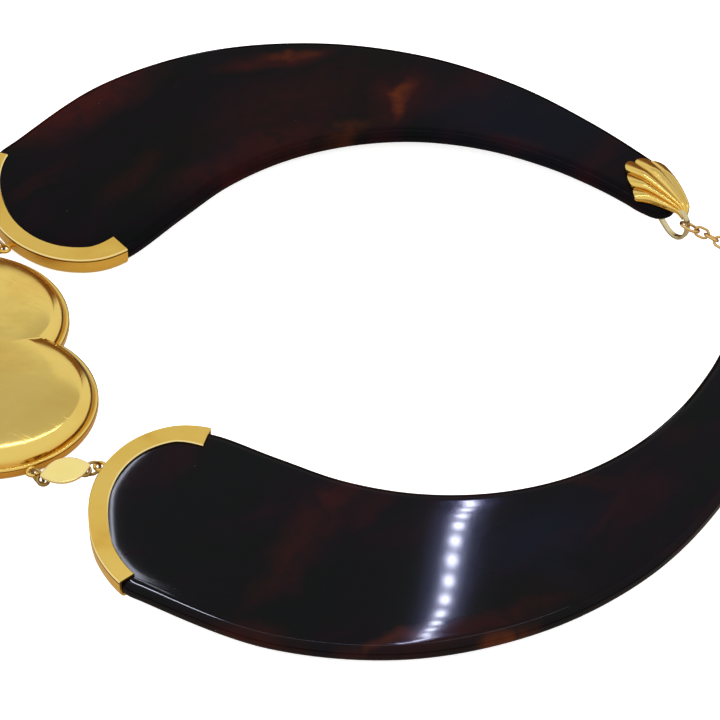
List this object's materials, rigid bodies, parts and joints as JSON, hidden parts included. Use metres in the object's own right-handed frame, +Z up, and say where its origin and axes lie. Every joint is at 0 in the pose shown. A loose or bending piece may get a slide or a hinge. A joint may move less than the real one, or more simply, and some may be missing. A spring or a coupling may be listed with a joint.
{
  "type": "collar necklace",
  "caption": "Collar necklace laid flat: broad curved tortoiseshell plates with gold end caps, a puffed gold heart at the front and a cable chain that closes it behind.",
  "frame": {"origin": "middle of the neck opening, on the surface that the collar lies on", "axes": "+Z up from the surface, -Y towards the front, where the heart is, and +X towards the plate nearer the camera in the picture"},
  "size_m": [0.2053, 0.224, 0.01],
  "materials": {
    "gold": "polished",
    "deep_gold": "polished",
    "tortoiseshell": "high gloss"
  },
  "bodies": {
    "root": {"heart": "gold", "left_link": "gold", "right_link": "gold", "left_heart_ring": "deep_gold", "left_cap_ring": "deep_gold", "right_heart_ring": "deep_gold", "right_cap_ring": "deep_gold", "left_cap": "gold", "right_cap": "gold", "left_plate": "tortoiseshell", "right_plate": "tortoiseshell", "left_bail": "gold", "right_bail": "gold", "left_chain": "deep_gold", "right_chain": "deep_gold", "clasp": "gold"}
  },
  "joints": []
}
